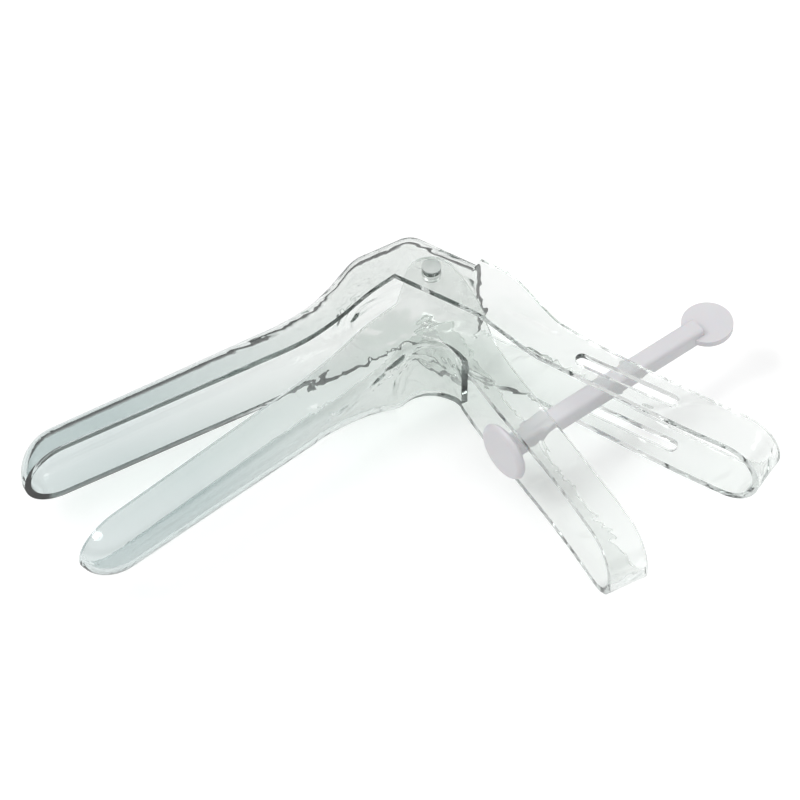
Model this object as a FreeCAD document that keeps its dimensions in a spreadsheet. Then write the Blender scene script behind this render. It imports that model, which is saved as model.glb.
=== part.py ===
import FreeCAD, Part
import math
import os

import Sketcher
from FreeCAD import Placement, Rotation, Vector

# A bivalve speculum of clear moulded plastic with a white locking pin.
# The lower valve's blade runs along -X from the hinge and its rims lie in the plane
# y = 0. The hinge axis is parallel to Z. The origin is the middle of the end face of
# the lowest hinge stud, which the instrument lies on when it is laid on its side.
# Each valve is an outer form less the core that leaves its walls, as it is moulded.

SIZES = {
    "wall": 1.7,
    "blade_half_width": 8.3,
    "blade_corner": 7.2,
    "rim_gap": 0.3,
    "tip_length": 11.0,
    "lower_length": 113.0,
    "lower_depth": 9.7,
    "upper_length": 110.6,
    "upper_depth": 12.4,
    "opening": 13.1,
    "ear_outside": 12.0,
    "ear_gap": 0.4,
    "ear_radius": 6.1,
    "stud_radius": 2.3,
    "stud_proud": 2.2,
    "hinge_clearance": 0.06,
    "lower_handle_turn": 76.7,
    "lower_neck_drop": 1.8,
    "lower_bend_corner": 4.0,
    "lower_turn_radius": 8.5,
    "lower_outer_edge": 5.2,
    "lower_narrow_start": 12.0,
    "lower_narrow_end": 22.0,
    "upper_handle_turn": 119.5,
    "upper_neck_drop": 2.5,
    "upper_bend_corner": 4.5,
    "upper_turn_radius": 6.0,
    "upper_far_edge": 9.7,
    "upper_near_edge": 4.9,
    "upper_web_end": 8.0,
    "upper_narrow_start": 16.0,
    "upper_narrow_end": 31.0,
    "handle_reach": 94.0,
    "strap_outside": 8.9,
    "strap_bulge": 0.5,
    "narrow_radius": 9.0,
    "slot_width": 3.2,
    "slot_near": 36.5,
    "slot_far": 64.5,
    "pin_reach": 46.5,
    "pin_lean": 9.4,
    "pin_seat": 0.6,
    "pin_span": 62.0,
    "bar_side": 5.0,
    "bar_corner": 1.2,
    "head_radius": 7.5,
    "head_thickness": 2.0,
    "collar_radius": 3.4,
    "collar_length": 1.4,
    "paddle_radius": 6.3,
    "paddle_thickness": 1.6,
}
# Sizes that follow from the others
FOLLOWING = {
    "plate_outside": "=ear_outside + ear_gap + wall",
    "stud_end": "=plate_outside + stud_proud",
    "lower_neck": "=lower_depth + lower_neck_drop",
    "upper_neck": "=upper_depth + upper_neck_drop",
}
# How far a core runs past the rims and edges that it opens
OVERRUN = 1.0
# Wider than any handle, so that a side view padded this far is cut on both edges
PAD_WIDTH = 44.0

doc = FreeCAD.newDocument("speculum")
sheet = doc.addObject("Spreadsheet::Sheet", "Sizes")
for row, (alias, content) in enumerate({**SIZES, **FOLLOWING}.items(), start=1):
    sheet.set("A%d" % row, alias)
    sheet.set("B%d" % row, str(content))
    sheet.setAlias("B%d" % row, alias)
doc.recompute()


def size(alias):
    """A number from the sheet."""
    return float(getattr(sheet, alias))


def sized(alias, plus=0.0, times=1.0):
    """A number that follows one in the sheet, and the expression that binds it."""
    number = (size(alias) + plus) * times
    return number, "(Sizes.%s + %.6f) * %.6f" % (alias, plus, times)


def on_plane(body, name, role, offset=Placement()):
    """A sketch on one of the body's own origin planes."""
    sketch = body.newObject("Sketcher::SketchObject", name)
    plane = [f for f in body.Origin.OriginFeatures if f.Role == role][0]
    sketch.AttachmentSupport = [(plane, "")]
    sketch.MapMode = "FlatFace"
    sketch.AttachmentOffset = offset
    return sketch


def upright(body, name, at, turn):
    """A sketch that stands along Z. Its x axis leaves a plan point at an angle."""
    offset = Placement(Vector(at[0], 0, -at[1]), Rotation(Vector(0, 1, 0), turn))
    return on_plane(body, name, "XZ_Plane", offset)


def level(body, name, height=0.0):
    """A sketch in plan, at a height."""
    return on_plane(body, name, "XY_Plane", Placement(Vector(0, 0, height), Rotation()))


def drive(sketch, constraint, label, expression):
    """Adds a sized constraint and binds it to the sheet."""
    number = sketch.addConstraint(constraint)
    sketch.renameConstraint(number, label)
    sketch.setExpression("Constraints." + label, expression)


def add(body, kind, name, **settings):
    """Adds a feature to a body and checks that it changed the solid."""
    before = body.Shape.Volume if body.Tip else 0.0
    feature = body.newObject("PartDesign::" + kind, name)
    for key, setting in settings.items():
        setattr(feature, key, setting)
    doc.recompute()
    if abs(body.Shape.Volume - before) < 1e-3:
        raise ValueError("%s changed nothing" % name)
    return feature


def plan_point(turn, reach, side):
    """A plan point beside a handle: so far out along it, and so far to its left."""
    angle = math.radians(turn)
    return (reach * math.cos(angle) - side * math.sin(angle),
            reach * math.sin(angle) + side * math.cos(angle))


def flat(point):
    """A plan point as a vector."""
    return Vector(point[0], point[1], 0)


def lines(points):
    """Straight edges from point to point."""
    return [Part.LineSegment(flat(a), flat(b)) for a, b in zip(points, points[1:])]


def smooth(points):
    """One smooth curve through a few points."""
    curve = Part.BSplineCurve()
    curve.interpolate([flat(p) for p in points])
    return curve


def rounded(points, radius):
    """Straight edges whose inner corners are arcs of one radius."""
    edges = []
    start = flat(points[0])
    for before, corner, after in zip(points, points[1:], points[2:]):
        here = flat(corner)
        back = (flat(before) - here).normalize()
        ahead = (flat(after) - here).normalize()
        half_angle = back.getAngle(ahead) / 2
        run = radius / math.tan(half_angle)
        bisector = (back + ahead).normalize()
        centre = here + bisector * (radius / math.sin(half_angle))
        middle = centre + (here - centre).normalize() * radius
        edges.append(Part.LineSegment(start, here + back * run))
        edges.append(Part.Arc(here + back * run, middle, here + ahead * run))
        start = here + ahead * run
    edges.append(Part.LineSegment(start, flat(points[-1])))
    return edges


def put(sketch, edges):
    """Puts edges into a sketch."""
    for edge in edges:
        sketch.addGeometry(edge)


def channel_section(body, name, rim, back, half, corner, axis_at=None):
    """A U across the valve: open at its rim, with two round corners at its back.

    half and corner come from sized. axis_at is where a turning axis stands, measured
    from the rim towards the back."""
    run = flat(back) - flat(rim)
    deep = run.Length
    sketch = upright(body, name, rim, math.degrees(math.atan2(run.y, run.x)))
    half_now, half_words = half
    round_now, round_words = corner
    side = half_now - round_now
    quarter = math.pi / 2
    normal = Vector(0, 0, 1)
    down = Vector(deep - round_now, -half_now, 0)
    up = Vector(deep - round_now, half_now, 0)
    low_round = Part.Circle(Vector(deep - round_now, -side, 0), normal, round_now)
    high_round = Part.Circle(Vector(deep - round_now, side, 0), normal, round_now)
    put(sketch, [
        Part.LineSegment(Vector(0, -half_now, 0), down),
        Part.ArcOfCircle(low_round, 3 * quarter, 4 * quarter),
        Part.LineSegment(Vector(deep, -side, 0), Vector(deep, side, 0)),
        Part.ArcOfCircle(high_round, 0, quarter),
        Part.LineSegment(up, Vector(0, half_now, 0)),
        Part.LineSegment(Vector(0, half_now, 0), Vector(0, -half_now, 0)),
    ])
    for edge in range(4):
        sketch.addConstraint(Sketcher.Constraint("Tangent", edge, 2, edge + 1, 1))
    sketch.addConstraint(Sketcher.Constraint("Coincident", 4, 2, 5, 1))
    sketch.addConstraint(Sketcher.Constraint("Coincident", 5, 2, 0, 1))
    sketch.addConstraint(Sketcher.Constraint("Horizontal", 0))
    sketch.addConstraint(Sketcher.Constraint("Horizontal", 4))
    sketch.addConstraint(Sketcher.Constraint("Vertical", 2))
    sketch.addConstraint(Sketcher.Constraint("PointOnObject", 0, 1, -2))
    sketch.addConstraint(Sketcher.Constraint("Symmetric", 0, 1, 4, 2, -1))
    sketch.addConstraint(Sketcher.Constraint("Equal", 1, 3))
    sketch.addConstraint(Sketcher.Constraint("DistanceX", -1, 1, 2, 1, deep))
    drive(sketch, Sketcher.Constraint("DistanceY", -1, 1, 4, 2, half_now), "half_width",
          half_words)
    drive(sketch, Sketcher.Constraint("Radius", 3, round_now), "corner", round_words)
    if axis_at is not None:
        axis = Part.LineSegment(Vector(axis_at, -half_now, 0), Vector(axis_at, half_now, 0))
        sketch.addGeometry(axis, True)
    return sketch


def tip_sections(length, depth, drop):
    """Sections that close a round tip, from its end back to the straight blade."""
    reach = size("tip_length") - drop
    start = size(length) - size("tip_length")
    rim_level = -size("rim_gap") / 2
    full_deep = size(depth) + rim_level - drop
    full_corner = min(size("blade_corner") - drop, 0.9 * full_deep)
    sections = []
    for turn in (85.5, 72, 55, 37, 18.5, 0):
        shrink = math.cos(math.radians(turn))
        along = -start - math.sin(math.radians(turn)) * reach
        half = sized("blade_half_width", -drop, shrink)
        corner = (full_corner * shrink, "%.6f" % (full_corner * shrink))
        rim = (along, rim_level + OVERRUN * (drop > 0))
        sections.append((rim, (along, rim_level - full_deep * shrink), half, corner))
    return sections


def neck_sections(stations, drop):
    """Sections from the straight blade to the hinge, each moved in by the wall.

    A station is its place along the blade, its depth, and its half width and corner
    as an alias and what to add to it."""
    rim_level = -size("rim_gap") / 2 + OVERRUN * (drop > 0)
    return [((along, rim_level), (along, -deep + drop), sized(half[0], half[1] - drop),
             sized(corner[0], corner[1] - drop))
            for along, deep, half, corner in stations]


def add_blade(body, tip, neck):
    """The tip and the neck are lofts, and the blade between them is straight."""
    sketches = []
    for number, section in enumerate(tip + neck, start=1):
        sketches.append(channel_section(body, "%s_section_%d" % (body.Name, number), *section))
    blade = channel_section(body, body.Name + "_blade_section", *tip[-1])
    doc.recompute()
    add(body, "AdditiveLoft", body.Name + "_tip", Profile=sketches[0],
        Sections=sketches[1:len(tip)])
    add(body, "Pad", body.Name + "_blade", Profile=blade,
        Length=neck[0][0][0] - tip[-1][0][0], Reversed=True)
    add(body, "AdditiveLoft", body.Name + "_neck", Profile=sketches[len(tip)],
        Sections=sketches[len(tip) + 1:])


def strap_line(start, narrow_start, narrow_end, hinge_level, drop, sign):
    """The outer line of one strap in the handle's side view, moved in by drop."""
    outside = size("strap_outside")
    end_half = outside + size("strap_bulge")
    turn_at = size("handle_reach") - end_half
    if start >= narrow_end:
        part_way = (start - narrow_end) / (turn_at - narrow_end)
        start_level = outside + part_way * (end_half - outside)
        return lines([(start, sign * (start_level - drop)),
                      (turn_at, sign * (end_half - drop))])
    points = [(start, sign * (hinge_level - drop)),
              (narrow_start, sign * (hinge_level - drop)),
              (narrow_end, sign * (outside - drop)),
              (turn_at, sign * (end_half - drop))]
    return rounded(points, size("narrow_radius"))


def add_handle(body, direction, start, narrow_start, narrow_end, hinge_level, drop):
    """Pads the side view of a stirrup handle across the valve."""
    end_half = size("strap_outside") + size("strap_bulge")
    turn_at = size("handle_reach") - end_half
    radius = end_half - drop
    sketch = upright(body, body.Name + "_side_view", (0, 0), direction)
    top = strap_line(start, narrow_start, narrow_end, hinge_level, drop, 1)
    bottom = strap_line(start, narrow_start, narrow_end, hinge_level, drop, -1)
    put(sketch, top + bottom)
    put(sketch, [Part.Arc(Vector(turn_at, radius, 0), Vector(turn_at + radius, 0, 0),
                          Vector(turn_at, -radius, 0)),
                 Part.LineSegment(bottom[0].StartPoint, top[0].StartPoint)])
    doc.recompute()
    add(body, "Pad", body.Name + "_handle", Profile=sketch, Length=PAD_WIDTH, Midplane=True)


def narrow(body, direction, end, narrow_start, narrow_end, hinge_level, drop, width):
    """Cuts both sides of the hinge down to the straps' S-bend."""
    for sign, word in ((1, "top"), (-1, "bottom")):
        sketch = upright(body, "%s_narrow_%s_outline" % (body.Name, word), (0, 0), direction)
        curve = strap_line(0, narrow_start, narrow_end, hinge_level, drop, sign)[1:4]
        last_line = strap_line(0, narrow_start, narrow_end, hinge_level, drop, sign)[4]
        line_start = last_line.StartPoint
        line_end = last_line.EndPoint
        part_way = (end - line_start.x) / (line_end.x - line_start.x)
        last = line_start + (line_end - line_start) * part_way
        first = curve[0].StartPoint
        beyond = sign * (hinge_level + 5)
        put(sketch, curve)
        put(sketch, lines([(line_start.x, line_start.y), (last.x, last.y), (last.x, beyond),
                           (first.x, beyond), (first.x, first.y)]))
        doc.recompute()
        add(body, "Pocket", "%s_narrow_%s" % (body.Name, word), Profile=sketch,
            Length=width, Midplane=True)


def trim(body, name, edges, around):
    """Cuts away what lies beyond a chain of edges in plan, as far as some points."""
    sketch = level(body, "%s_%s_outline" % (body.Name, name))
    first = edges[0].StartPoint
    last = edges[-1].EndPoint
    put(sketch, edges)
    put(sketch, lines([(last.x, last.y)] + around + [(first.x, first.y)]))
    doc.recompute()
    add(body, "Pocket", "%s_%s" % (body.Name, name), Profile=sketch, Type="ThroughAll",
        Midplane=True)


def plane_sides(body, outside):
    """Planes both sides of a valve flat where they would stand out at the hinge."""
    for sign, word in ((1, "top"), (-1, "bottom")):
        sketch = level(body, "%s_plane_%s_outline" % (body.Name, word), sign * outside)
        put(sketch, lines([(-60, -60), (60, -60), (60, 60), (-60, 60), (-60, -60)]))
        doc.recompute()
        pocket = body.newObject("PartDesign::Pocket", "%s_plane_%s" % (body.Name, word))
        pocket.Profile = sketch
        pocket.Type = "ThroughAll"
        pocket.Reversed = sign > 0
        doc.recompute()


def lower_form(name, drop):
    """The lower valve's outer form, or with drop the core that leaves its walls."""
    body = doc.addObject("PartDesign::Body", name)
    handle = 180 + size("lower_handle_turn")
    ear = size("ear_outside")
    turn_radius = size("lower_turn_radius")
    neck_deep = size("lower_neck")
    side = -size("lower_outer_edge") - turn_radius
    angle = math.radians(handle)
    reach = -(neck_deep + turn_radius + side * math.cos(angle)) / math.sin(angle)
    centre = plan_point(handle, reach, side)
    deep = size("lower_depth")
    width = "blade_half_width"
    corner = "blade_corner"
    bend_corner = "lower_bend_corner"
    neck = neck_sections([
        (-46, deep, (width, 0), (corner, 0)),
        (-40, deep, (width, 0.1), (corner, 0)),
        (-34, deep + 0.05, (width, 0.8), (corner, -0.3)),
        (-28, deep + 0.45, (width, 2.0), (corner, -1.0)),
        (centre[0] - 4, neck_deep - 0.4, ("ear_outside", -0.35), (bend_corner, 0.9)),
        (centre[0], neck_deep, ("ear_outside", 0), (bend_corner, 0)),
    ], drop)
    add_blade(body, tip_sections("lower_length", "lower_depth", drop), neck)
    # The channel turns about an upright axis behind its back wall
    rim = (centre[0], 16.0)
    section = channel_section(body, name + "_bend_section", rim,
                              (centre[0], -neck_deep + drop), sized("ear_outside", -drop),
                              sized(bend_corner, -drop),
                              axis_at=rim[1] + neck_deep + turn_radius)
    doc.recompute()
    add(body, "Revolution", name + "_bend", Profile=section,
        ReferenceAxis=(section, ["Axis0"]), Angle=180 - size("lower_handle_turn"),
        Reversed=True)
    plane_sides(body, ear - drop)
    start = size("lower_narrow_start")
    end = size("lower_narrow_end")
    narrow(body, handle, reach, start, end, ear, drop, 2 * 14.0)
    add_handle(body, handle, reach, start, end, ear, drop)
    return body, handle, reach


def upper_form(name, drop):
    """The upper valve's outer form, or its core. It is drawn with its blade's back
    down, as the lower valve is, and turned over when it is put in its place."""
    body = doc.addObject("PartDesign::Body", name)
    handle = 180 - size("upper_handle_turn")
    plate = size("plate_outside")
    deep = size("upper_depth")
    neck_deep = size("upper_neck")
    turn_radius = size("upper_turn_radius")
    side = -(size("upper_far_edge") - turn_radius)
    angle = math.radians(handle)
    centre_y = -neck_deep + turn_radius
    reach = (centre_y - side * math.cos(angle)) / math.sin(angle)
    centre = plan_point(handle, reach, side)
    channel_end = -12.0
    width = "blade_half_width"
    bend_corner = "upper_bend_corner"
    neck = neck_sections([
        (-46, deep, (width, 0), ("blade_corner", 0)),
        (-40, deep, (width, 0.1), ("blade_corner", 0)),
        (-34, deep, (width, 0.5), ("blade_corner", -0.1)),
        (-28, deep + 0.15, (width, 1.6), ("blade_corner", -0.4)),
        (-22, deep + 0.8, ("plate_outside", -2.4), (bend_corner, 1.7)),
        (channel_end - 5, neck_deep - 0.7, ("plate_outside", -0.7), (bend_corner, 0.7)),
        (channel_end, neck_deep, ("plate_outside", 0), (bend_corner, 0)),
    ], drop)
    add_blade(body, tip_sections("upper_length", "upper_depth", drop), neck)
    half = sized("plate_outside", -drop)
    corner = sized(bend_corner, -drop)
    # Straight on to the corner, round it, and along the handle as far as the web goes
    rim = (channel_end, -size("rim_gap") / 2 + OVERRUN * (drop > 0))
    straight = channel_section(body, name + "_straight_section", rim,
                               (channel_end, -neck_deep + drop), half, corner)
    doc.recompute()
    add(body, "Pad", name + "_straight", Profile=straight, Length=centre[0] - channel_end,
        Reversed=True)
    turned = channel_section(body, name + "_turned_section", centre,
                             (centre[0], -neck_deep + drop), half, corner, axis_at=0.0)
    doc.recompute()
    add(body, "Revolution", name + "_corner", Profile=turned,
        ReferenceAxis=(turned, ["Axis0"]), Angle=handle)
    far = plan_point(handle, reach, -size("upper_far_edge") + drop)
    near = plan_point(handle, reach, size("upper_near_edge") + 2)
    web = channel_section(body, name + "_web_section", near, far, half, corner)
    doc.recompute()
    add(body, "Pad", name + "_web", Profile=web, Length=size("upper_web_end") - reach,
        Reversed=True)
    plane_sides(body, plate - drop)
    add_handle(body, handle, size("upper_web_end"), size("upper_narrow_start"),
               size("upper_narrow_end"), plate, drop)
    return body, handle


def lower_valve():
    """Blade, neck, two inner ears with their studs, and stirrup handle in one piece."""
    outside, handle, reach = lower_form("lower_outside", 0.0)
    core = lower_form("lower_core", size("wall"))[0]
    top = -size("rim_gap") / 2
    ear = size("ear_radius")
    # Round the ear: from the rim up a tangent, over the ear and down the handle
    rim_end = -11.5
    tangent = math.pi - math.acos(ear / -rim_end)
    ear_top = math.radians(45)
    ear_end = math.radians(handle + 90)
    start = (ear * math.cos(tangent), ear * math.sin(tangent))
    over = (ear * math.cos(ear_top), ear * math.sin(ear_top))
    end = (ear * math.cos(ear_end), ear * math.sin(ear_end))
    inner_edge = [end] + [plan_point(handle, far, side) for far, side in
                          ((10, ear), (24, 4.6), (40, 4.5), (62, 5.1), (96, 5.3))]
    trim(outside, "ear", lines([(-60, top), (rim_end, top), start])
         + [Part.Arc(flat(start), flat(over), flat(end)), smooth(inner_edge)],
         [plan_point(handle, 96, 60), (60, 26), (-60, 26)])
    outer_edge = [plan_point(handle, far, side) for far, side in
                  ((reach, -size("lower_outer_edge")), (40, -5.2), (58, -4.3), (74, -4.0),
                   (96, -4.9))]
    trim(outside, "outer_edge", [smooth(outer_edge)],
         [plan_point(handle, 96, -24), plan_point(handle, reach, -24)])
    walls = doc.addObject("Part::Cut", "lower_walls")
    walls.Base = outside
    walls.Tool = core
    studs = []
    inside = size("ear_outside") - size("wall") / 2
    for base, word in ((inside, "top"), (-size("stud_end"), "bottom")):
        stud = doc.addObject("Part::Cylinder", "lower_stud_" + word)
        stud.setExpression("Radius", "Sizes.stud_radius")
        stud.setExpression("Height", "Sizes.stud_end - Sizes.ear_outside + Sizes.wall / 2")
        stud.Placement = Placement(Vector(0, 0, base), Rotation())
        studs.append(stud)
    valve = doc.addObject("Part::MultiFuse", "lower_valve")
    valve.Shapes = [walls] + studs
    return valve


def slot_edges(direction, side):
    """A long round-ended slot along the middle of a handle."""
    radius = size("slot_width") / 2
    near = size("slot_near") + radius
    far = size("slot_far") - radius
    corners = [flat(plan_point(direction, reach, side + offset)) for reach, offset in
               ((near, radius), (near - radius, 0), (near, -radius),
                (far, -radius), (far + radius, 0), (far, radius))]
    return [Part.Arc(corners[0], corners[1], corners[2]),
            Part.LineSegment(corners[2], corners[3]),
            Part.Arc(corners[3], corners[4], corners[5]),
            Part.LineSegment(corners[5], corners[0])]


def upper_valve():
    """Blade, neck, two outer plates that hang on the studs, and slotted handle."""
    outside, handle = upper_form("upper_outside", 0.0)
    core = upper_form("upper_core", size("wall"))[0]
    top = -size("rim_gap") / 2
    near = size("upper_near_edge")
    corner = plan_point(handle, -7.3, near)
    near_edge = [corner] + [plan_point(handle, far, side) for far, side in
                            ((10, near), (30, 5.3), (53, 6.2), (73, 6.8), (96, 6.2))]
    trim(outside, "near_edge",
         [Part.Arc(Vector(-44, top, 0), Vector(-24, -1.3, 0), flat(corner)),
          smooth(near_edge)],
         [plan_point(handle, 96, 24), (-44, 40)])
    far_edge = [plan_point(handle, far, side) for far, side in
                ((size("upper_web_end"), -size("upper_far_edge")), (13, -9.7), (18, -9.3),
                 (27, -7.2), (41, -5.0), (58, -4.1), (74, -3.6), (96, -4.0))]
    trim(outside, "far_edge", [smooth(far_edge)],
         [plan_point(handle, 96, -24), plan_point(handle, size("upper_web_end"), -24)])
    slot = level(outside, "upper_slot_outline")
    put(slot, slot_edges(handle, 1.0))
    doc.recompute()
    add(outside, "Pocket", "upper_slot", Profile=slot, Type="ThroughAll", Midplane=True)
    walls = doc.addObject("Part::Cut", "upper_walls")
    walls.Base = outside
    walls.Tool = core
    hole = doc.addObject("Part::Cylinder", "upper_hole")
    hole.setExpression("Radius", "Sizes.stud_radius + Sizes.hinge_clearance")
    hole.setExpression("Height", "Sizes.stud_end * 2")
    hole.Placement = Placement(Vector(0, 0, -size("stud_end")), Rotation())
    valve = doc.addObject("Part::Cut", "upper_valve")
    valve.Base = walls
    valve.Tool = hole
    return valve


def locking_pin():
    """A square bar with a round head at one end and a flat paddle at the other."""
    body = doc.addObject("PartDesign::Body", "locking_pin")
    half = size("bar_side") / 2
    corner = size("bar_corner")
    outline = on_plane(body, "bar_outline", "YZ_Plane")
    round_square = [(-half, -half), (half, -half), (half, half), (-half, half)]
    edges = rounded([(0, -half)] + round_square[1:] + [round_square[0], (0, -half)], corner)
    put(outline, edges)
    doc.recompute()
    bar_end = size("pin_span") - size("paddle_radius") + 3.3
    bar = add(body, "Pad", "bar", Profile=outline, Length=bar_end)
    bar.setExpression("Length", "Sizes.pin_span - Sizes.paddle_radius + 3.3")
    doc.recompute()
    head = on_plane(body, "head_outline", "XZ_Plane")
    radius = size("head_radius")
    thick = size("head_thickness")
    collar = size("collar_radius")
    length = size("collar_length")
    put(head, lines([(0, 0), (-thick, 0), (-thick, radius - 1.6)]))
    put(head, [Part.Arc(Vector(-thick, radius - 1.6, 0), Vector(-thick + 0.6, radius - 0.4, 0),
                        Vector(-thick / 3, radius, 0))])
    put(head, lines([(-thick / 3, radius), (0, radius - 0.4), (0, collar + 0.5),
                     (length * 0.5, collar), (length, collar - 0.6), (length, 0), (0, 0)]))
    doc.recompute()
    add(body, "Revolution", "head", Profile=head, ReferenceAxis=(head, ["H_Axis"]), Angle=360)
    paddle = on_plane(body, "paddle_outline", "XY_Plane")
    centre = Vector(size("pin_span"), 0, 0)
    paddle.addGeometry(Part.Circle(centre, Vector(0, 0, 1), size("paddle_radius")))
    drive(paddle, Sketcher.Constraint("Radius", 0, size("paddle_radius")), "radius",
          "Sizes.paddle_radius")
    drive(paddle, Sketcher.Constraint("DistanceX", -1, 1, 0, 3, size("pin_span")), "span",
          "Sizes.pin_span")
    paddle.addConstraint(Sketcher.Constraint("PointOnObject", 0, 3, -1))
    doc.recompute()
    plate = add(body, "Pad", "paddle", Profile=paddle, Length=size("paddle_thickness"),
                Midplane=True)
    plate.setExpression("Length", "Sizes.paddle_thickness")
    doc.recompute()
    return body


lower = lower_valve()
upper = upper_valve()
pin = locking_pin()
doc.recompute()

lift = size("stud_end")
lower.Placement = Placement(Vector(0, 0, lift), Rotation())
turned_over = Rotation(Vector(1, 0, 0), 180)
opened = Rotation(Vector(0, 0, 1), -size("opening"))
upper.Placement = Placement(Vector(0, 0, lift), opened.multiply(turned_over))
handle_angle = 180 + size("lower_handle_turn")
seat_side = -size("lower_outer_edge") - size("pin_seat")
seat = plan_point(handle_angle, size("pin_reach"), seat_side)
pin.Placement = Placement(Vector(seat[0], seat[1], lift),
                          Rotation(Vector(0, 0, 1), handle_angle + 90 + size("pin_lean")))
doc.recompute()

os.makedirs("parts", exist_ok=True)
for thing in doc.Objects:
    if "Invalid" in thing.State or "Error" in thing.State:
        raise ValueError("%s failed: %s" % (thing.Name, thing.State))
for thing in (lower, upper, pin):
    shape = thing.Shape
    if shape.isNull() or not shape.isValid():
        raise ValueError("%s is not a valid shape" % thing.Label)
    print(thing.Label, len(shape.Solids), round(shape.Volume, 1), shape.BoundBox)
    shape.exportStep("parts/%s.step" % thing.Label)
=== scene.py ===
from math import cos, radians, sin

import bmesh
import bpy
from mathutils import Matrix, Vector


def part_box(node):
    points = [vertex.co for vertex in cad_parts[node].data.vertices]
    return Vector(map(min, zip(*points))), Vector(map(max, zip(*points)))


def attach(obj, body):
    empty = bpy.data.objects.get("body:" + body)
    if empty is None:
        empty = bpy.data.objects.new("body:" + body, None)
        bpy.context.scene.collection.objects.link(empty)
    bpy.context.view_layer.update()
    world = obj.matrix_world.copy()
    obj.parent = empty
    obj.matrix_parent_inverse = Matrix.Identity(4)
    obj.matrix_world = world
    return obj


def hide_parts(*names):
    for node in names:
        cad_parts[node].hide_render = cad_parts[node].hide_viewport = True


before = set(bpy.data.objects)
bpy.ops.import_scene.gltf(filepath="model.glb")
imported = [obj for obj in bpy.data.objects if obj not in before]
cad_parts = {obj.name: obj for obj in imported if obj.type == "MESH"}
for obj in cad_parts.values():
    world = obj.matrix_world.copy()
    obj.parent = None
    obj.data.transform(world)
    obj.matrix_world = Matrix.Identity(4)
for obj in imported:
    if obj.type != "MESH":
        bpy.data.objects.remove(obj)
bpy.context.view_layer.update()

# Lower valve
# One injection moulding in clear polystyrene: a trough blade, two ears with hinge studs,
# and a stirrup handle. The mould leaves its skin glossy and its edges slightly round.
LOW_STUD_END, HIGH_STUD_END = (corner[2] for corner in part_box("lower_valve"))
MIDDLE = (LOW_STUD_END + HIGH_STUD_END) / 2
ROUND_EDGE = 0.0003
# Distance from the hinge in millimetres, then width and depth over those of the solid
LOWER_BLADE = [(15, 1.0, 1.0), (24, 1.0, 1.05), (31, 1.0, 1.1), (40, 1.0, 1.04),
               (50, 1.0, 1.0), (102, 1.0, 0.84), (115, 1.0, 0.8)]


def linear(code):
    """A hex colour as it looks on a screen, turned to linear light."""
    parts = [int(code[place:place + 2], 16) / 255 for place in (1, 3, 5)]
    return [p / 12.92 if p <= 0.04045 else ((p + 0.055) / 1.055) ** 2.4 for p in parts] + [1]


def add_node(tree, kind, settings=None, links=None):
    """Adds a node, sets its fields and sockets, and links other nodes' outputs to it."""
    new = tree.nodes.new(kind)
    for field, value in (settings or {}).items():
        if isinstance(field, int) or field in new.inputs:
            new.inputs[field].default_value = value
        else:
            setattr(new, field, value)
    for socket, source in (links or {}).items():
        tree.links.new(source, new.inputs[socket])
    return new


def new_material(name):
    """A material with no nodes yet, and its tree."""
    material = bpy.data.materials.new(name)
    material.use_nodes = True
    material.node_tree.nodes.clear()
    return material, material.node_tree


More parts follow.
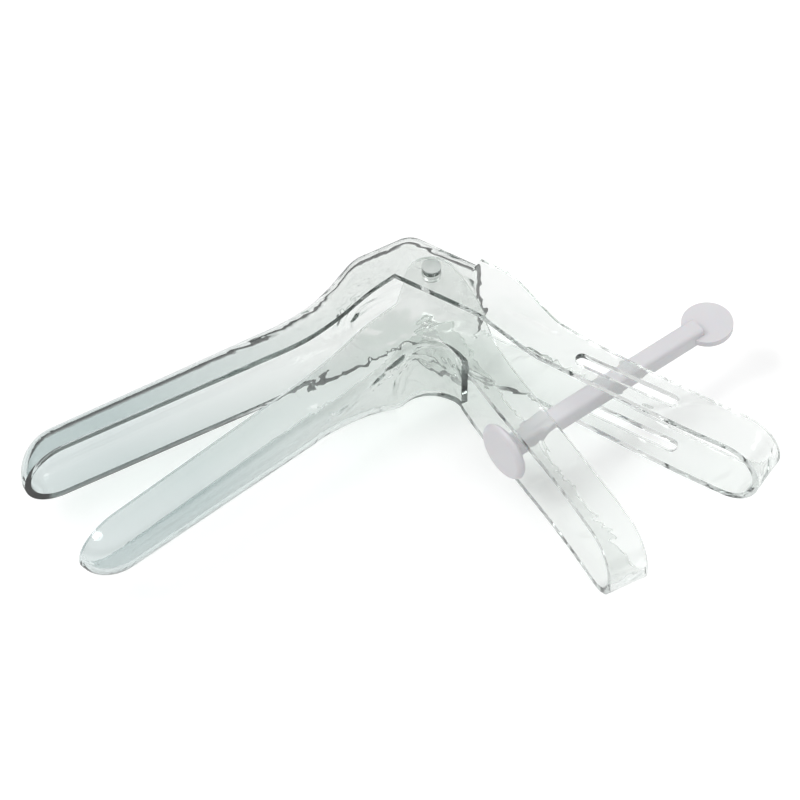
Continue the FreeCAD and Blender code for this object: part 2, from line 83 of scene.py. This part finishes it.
def clear_polystyrene():
    """Clear polystyrene, moulded: water-clear with a faint grey-green body colour that
    deepens where light runs a long way through it. On top of that, painted shade: the blades
    are tinted greyer than the hinge and handles, and edges that curve away from the eye are
    painted dark. The flow of the melt leaves shallow waves, about 14 mm apart and strongest
    at the hinge and handles, that bend what shows through."""
    material, tree = new_material("clear moulded polystyrene")
    place = add_node(tree, "ShaderNodeTexCoord").outputs["Object"]
    waves = add_node(tree, "ShaderNodeTexNoise",
                     {"Scale": 70.0, "Detail": 2.0, "Roughness": 0.45, "Distortion": 1.0},
                     {"Vector": place})
    axes = add_node(tree, "ShaderNodeSeparateXYZ", None, {"Vector": place})
    strength = add_node(tree, "ShaderNodeMapRange",
                        {"From Min": -0.06, "From Max": -0.01, "To Min": 0.1, "To Max": 0.9},
                        {"Value": axes.outputs["X"]})
    relief = add_node(tree, "ShaderNodeBump", {"Distance": 0.0012},
                      {"Height": waves.outputs["Fac"],
                       "Strength": strength.outputs["Result"]})
    haze = add_node(tree, "ShaderNodeTexNoise", {"Scale": 40.0, "Detail": 3.0},
                    {"Vector": place})
    gloss = add_node(tree, "ShaderNodeMapRange", {"To Min": 0.0, "To Max": 0.04},
                     {"Value": haze.outputs["Fac"]})
    # Nothing but the ends of the studs lies 15.9 mm from the middle. They are left matt
    off_middle = add_node(tree, "ShaderNodeMath", {"operation": "SUBTRACT", 1: MIDDLE},
                          {0: axes.outputs["Z"]})
    from_middle = add_node(tree, "ShaderNodeMath", {"operation": "ABSOLUTE"},
                           {0: off_middle.outputs[0]})
    stud_end = add_node(tree, "ShaderNodeMapRange",
                        {"From Min": 0.0158, "From Max": 0.0159, "To Max": 0.5},
                        {"Value": from_middle.outputs[0]})
    roughness = add_node(tree, "ShaderNodeMath", {"operation": "MAXIMUM"},
                         {0: gloss.outputs["Result"], 1: stud_end.outputs["Result"]})
    # Painted shade: the blades are tinted greyer than the hinge and the handles, and what
    # curves away from the eye is painted darker
    blade_shade_mask = add_node(tree, "ShaderNodeMapRange", {"From Min": -0.08, "From Max": -0.02},
                    {"Value": axes.outputs["X"]})
    painted_blade_shade = add_node(tree, "ShaderNodeMix",
                    {"data_type": "RGBA", 6: linear("#DFE6E6"), 7: linear("#F8F9F8")},
                    {0: blade_shade_mask.outputs["Result"]})
    # Painted shade: where the surface turns away from the eye its colour is drawn towards
    # dark grey-green #66736E, darkening the edges
    facing = add_node(tree, "ShaderNodeLayerWeight", {"Blend": 0.5})
    painted_edge_shade = add_node(tree, "ShaderNodeMapRange", {"From Min": 0.64, "From Max": 0.95},
                           {"Value": facing.outputs["Facing"]})
    colour = add_node(tree, "ShaderNodeMix", {"data_type": "RGBA", 7: linear("#66736E")},
                      {0: painted_edge_shade.outputs["Result"], 6: painted_blade_shade.outputs[2]})
    plastic = add_node(tree, "ShaderNodeBsdfPrincipled",
                       {"IOR": 1.59, "Transmission Weight": 1.0},
                       {"Base Color": colour.outputs[2], "Roughness": roughness.outputs[0],
                        "Normal": relief.outputs["Normal"]})
    lit_through = add_node(tree, "ShaderNodeBsdfTransparent", {"Color": linear("#EEF2F0")})
    path = add_node(tree, "ShaderNodeLightPath")
    surface = add_node(tree, "ShaderNodeMixShader", None,
                       {0: path.outputs["Is Shadow Ray"], 1: plastic.outputs[0],
                        2: lit_through.outputs[0]})
    body = add_node(tree, "ShaderNodeVolumeAbsorption",
                    {"Color": linear("#CDD3D1"), "Density": 90.0})
    add_node(tree, "ShaderNodeOutputMaterial", None,
             {"Surface": surface.outputs[0], "Volume": body.outputs[0]})
    return material


def joined(node):
    """A node's surface as one skin, whose flat facets are joined."""
    skin = bmesh.new()
    skin.from_mesh(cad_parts[node].data)
    bmesh.ops.remove_doubles(skin, verts=skin.verts, dist=2e-6)
    bmesh.ops.dissolve_limit(skin, angle_limit=radians(0.5), verts=skin.verts,
                             edges=skin.edges)
    return skin


def ease_blade(skin, opening, stations):
    """Draws a blade's walls in or out to the real ones, and leaves its rims in their plane.

    opening is how many degrees the blade stands off the lower one."""
    turn = radians(opening)
    # What lies further than this from the plane of the rims is handle, and stays as it is
    deepest = 0.02
    for vert in skin.verts:
        along = -vert.co.x * cos(turn) + vert.co.y * sin(turn)
        deep = vert.co.x * sin(turn) + vert.co.y * cos(turn)
        for near, far in zip(stations, stations[1:]):
            if near[0] <= along * 1000 < far[0] and abs(deep) < deepest:
                part_way = (along * 1000 - near[0]) / (far[0] - near[0])
                wide = near[1] + part_way * (far[1] - near[1])
                deep *= near[2] + part_way * (far[2] - near[2])
                vert.co.x = -along * cos(turn) + deep * sin(turn)
                vert.co.y = along * sin(turn) + deep * cos(turn)
                vert.co.z = MIDDLE + (vert.co.z - MIDDLE) * wide
                break


def moulded(skin, name, finish):
    """Makes a skin a piece that is smooth but for its edges, which are a little round."""
    corners = [e for e in skin.edges if e.is_manifold and e.calc_face_angle() > radians(35)]
    bmesh.ops.bevel(skin, geom=corners, offset=ROUND_EDGE, offset_type="OFFSET", segments=2,
                    profile=0.5, affect="EDGES", clamp_overlap=True, material=-1)
    mesh = bpy.data.meshes.new(name)
    skin.to_mesh(mesh)
    skin.free()
    mesh.shade_smooth()
    mesh.set_sharp_from_angle(angle=radians(40))
    mesh.materials.append(finish)
    piece = bpy.data.objects.new(name, mesh)
    bpy.context.scene.collection.objects.link(piece)
    piece.modifiers.new("flat faces stay flat", "WEIGHTED_NORMAL").keep_sharp = True
    return piece


polystyrene = clear_polystyrene()
lower_skin = joined("lower_valve")
ease_blade(lower_skin, 0.0, LOWER_BLADE)
lower_valve = moulded(lower_skin, "clear_lower_valve", polystyrene)
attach(lower_valve, "lower_valve")
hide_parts("lower_valve")

# Upper valve
# The second clear moulding. Its plates are sprung over the studs of the lower valve, and
# its handle has a slot in each strap.
BLADE_OPENING = 13.1
UPPER_BLADE = [(12, 1.0, 1.0), (17, 1.015, 0.96), (22, 1.03, 0.93), (28, 1.05, 0.9),
               (34, 1.07, 0.88), (40, 1.1, 0.865), (46, 1.13, 0.855), (100, 1.13, 0.76),
               (112, 1.13, 0.74)]
HANDLE_TURN = radians(-73.6)
# Where the solid has its slots: how far down the handle from the hinge, and how far to
# the side
SLOT_START, SLOT_END = 0.035, 0.066
SLOT_SIDE, SLOT_REACH = 0.001, 0.0025
# The slots lie this much further down the straps than the solid has them
SLOT_SHIFT = 0.0042
upper_skin = joined("upper_valve")
ease_blade(upper_skin, BLADE_OPENING, UPPER_BLADE)
down_handle = Vector((cos(HANDLE_TURN), sin(HANDLE_TURN), 0.0))
slots = [v for v in upper_skin.verts
         if SLOT_START < v.co.dot(down_handle) < SLOT_END
         and abs(v.co.x * down_handle.y - v.co.y * down_handle.x - SLOT_SIDE) < SLOT_REACH]
bmesh.ops.translate(upper_skin, verts=slots, vec=down_handle * SLOT_SHIFT)
upper_valve = moulded(upper_skin, "clear_upper_valve", polystyrene)
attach(upper_valve, "upper_valve")
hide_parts("upper_valve")

# Locking pin
# A white moulding of high-impact polystyrene, pushed through both handles: a square bar
# with a round head and a flat paddle.


def white_polystyrene():
    """High-impact polystyrene, white pigment: opaque and satin, with a little light
    passing under the skin, and a fine spark-eroded grain about 0.5 mm across."""
    material, tree = new_material("white moulded polystyrene")
    place = add_node(tree, "ShaderNodeTexCoord").outputs["Object"]
    grain = add_node(tree, "ShaderNodeTexNoise", {"Scale": 2000.0, "Detail": 2.0},
                     {"Vector": place})
    relief = add_node(tree, "ShaderNodeBump", {"Strength": 0.15, "Distance": 0.0001},
                      {"Height": grain.outputs["Fac"]})
    cloud = add_node(tree, "ShaderNodeTexNoise", {"Scale": 60.0, "Detail": 2.0},
                     {"Vector": place})
    colour = add_node(tree, "ShaderNodeMix",
                      {"data_type": "RGBA", 6: linear("#DDDCDF"), 7: linear("#D3D2D6")},
                      {0: cloud.outputs["Fac"]})
    roughness = add_node(tree, "ShaderNodeMapRange", {"To Min": 0.38, "To Max": 0.5},
                         {"Value": cloud.outputs["Fac"]})
    plastic = add_node(tree, "ShaderNodeBsdfPrincipled",
                       {"IOR": 1.55, "Subsurface Weight": 0.15, "Subsurface Scale": 0.001},
                       {"Base Color": colour.outputs[2],
                        "Roughness": roughness.outputs["Result"],
                        "Normal": relief.outputs["Normal"]})
    add_node(tree, "ShaderNodeOutputMaterial", None, {"Surface": plastic.outputs[0]})
    return material


locking_pin = moulded(joined("locking_pin"), "white_locking_pin", white_polystyrene())
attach(locking_pin, "locking_pin")
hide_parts("locking_pin")

# Floor, lights and camera
# A white table top under a white ceiling and two soft boxes. What the clear plastic sees
# is white only near the instrument: the table beyond it is dark grey, and so is the room
# low down, which draws the edges dark. The camera sees both white.
LOW_ROOM = 0.12


def white_table():
    """A matt white laminate top. It keeps shadows, and glows a little so that the camera
    and the clear plastic see it as white."""
    material, tree = new_material("white laminate")
    matt = add_node(tree, "ShaderNodeBsdfDiffuse", {"Color": linear("#F4F4F4")})
    path = add_node(tree, "ShaderNodeLightPath")
    mirrored = add_node(tree, "ShaderNodeMath", {"operation": "MAXIMUM"},
                        {0: path.outputs["Is Glossy Ray"],
                         1: path.outputs["Is Transmission Ray"]})
    seen = add_node(tree, "ShaderNodeMath", {"operation": "MAXIMUM"},
                    {0: path.outputs["Is Camera Ray"], 1: mirrored.outputs[0]})
    strength = add_node(tree, "ShaderNodeMath", {"operation": "MULTIPLY", 1: 0.2},
                        {0: seen.outputs[0]})
    glow = add_node(tree, "ShaderNodeEmission", {"Color": linear("#FFFFFF")},
                    {"Strength": strength.outputs[0]})
    white = add_node(tree, "ShaderNodeAddShader", None,
                     {0: matt.outputs[0], 1: glow.outputs[0]})
    place = add_node(tree, "ShaderNodeTexCoord").outputs["Object"]
    reach = add_node(tree, "ShaderNodeVectorMath", {"operation": "LENGTH"}, {0: place})
    beyond = add_node(tree, "ShaderNodeMapRange", {"From Min": 0.14, "From Max": 0.24},
                      {"Value": reach.outputs["Value"]})
    grey = add_node(tree, "ShaderNodeMath", {"operation": "MULTIPLY"},
                    {0: beyond.outputs["Result"], 1: mirrored.outputs[0]})
    far_table = add_node(tree, "ShaderNodeEmission",
                         {"Color": linear("#FFFFFF"), "Strength": LOW_ROOM})
    both = add_node(tree, "ShaderNodeMixShader", None,
                    {0: grey.outputs[0], 1: white.outputs[0], 2: far_table.outputs[0]})
    add_node(tree, "ShaderNodeOutputMaterial", None, {"Surface": both.outputs[0]})
    return material


table_mesh = bpy.data.meshes.new("table")
top = bmesh.new()
bmesh.ops.create_grid(top, x_segments=1, y_segments=1, size=4)
top.to_mesh(table_mesh)
top.free()
table_mesh.materials.append(white_table())
table = bpy.data.objects.new("table", table_mesh)
bpy.context.scene.collection.objects.link(table)

world = bpy.data.worlds.new("grey room")
bpy.context.scene.world = world
world.use_nodes = True
room = world.node_tree
room.nodes.clear()
direction = add_node(room, "ShaderNodeTexCoord").outputs["Generated"]
height = add_node(room, "ShaderNodeSeparateXYZ", None, {"Vector": direction})
shade = add_node(room, "ShaderNodeMapRange",
                 {"From Min": 0.18, "From Max": 0.4, "To Min": LOW_ROOM, "To Max": 0.85},
                 {"Value": height.outputs["Z"]})
ray = add_node(room, "ShaderNodeLightPath")
backdrop = add_node(room, "ShaderNodeMath", {"operation": "MAXIMUM"},
                    {0: shade.outputs["Result"], 1: ray.outputs["Is Camera Ray"]})
air = add_node(room, "ShaderNodeBackground", {"Color": linear("#FFFFFF")},
               {"Strength": backdrop.outputs[0]})
add_node(room, "ShaderNodeOutputWorld", None, {"Surface": air.outputs[0]})


def soft_box(name, place, side, power):
    """A square soft box that faces the instrument."""
    light = bpy.data.lights.new(name, "AREA")
    light.shape = "SQUARE"
    light.size = side
    light.energy = power
    lamp = bpy.data.objects.new(name, light)
    lamp.location = place
    lamp.rotation_euler = (-Vector(place)).to_track_quat("-Z", "Y").to_euler()
    bpy.context.scene.collection.objects.link(lamp)


soft_box("key soft box", (-0.9, 0.6, 1.3), 0.6, 8.0)
soft_box("fill soft box", (0.9, -0.9, 0.9), 0.5, 2.0)

CAMERA_TURN = radians(-42.7)
CAMERA_HEIGHT = radians(50.5)
CAMERA_DISTANCE = 2.5
VIEW_WIDTH = 0.1905
looked_at = Vector((-0.0244, -0.0154, 0.0162))
towards = Vector((-sin(CAMERA_TURN) * cos(CAMERA_HEIGHT),
                  cos(CAMERA_TURN) * cos(CAMERA_HEIGHT),
                  -sin(CAMERA_HEIGHT)))
lens = bpy.data.cameras.new("camera")
lens.lens = lens.sensor_width * CAMERA_DISTANCE / VIEW_WIDTH
camera = bpy.data.objects.new("camera", lens)
camera.location = looked_at - towards * CAMERA_DISTANCE
camera.rotation_euler = (radians(90) - CAMERA_HEIGHT, 0, CAMERA_TURN)
bpy.context.scene.collection.objects.link(camera)
bpy.context.scene.camera = camera
bpy.context.scene.view_settings.view_transform = "Standard"
# Light runs to and fro inside a clear wall many times before it comes out at a rim
bpy.context.scene.cycles.max_bounces = 24
bpy.context.scene.cycles.glossy_bounces = 20
bpy.context.scene.cycles.transmission_bounces = 24
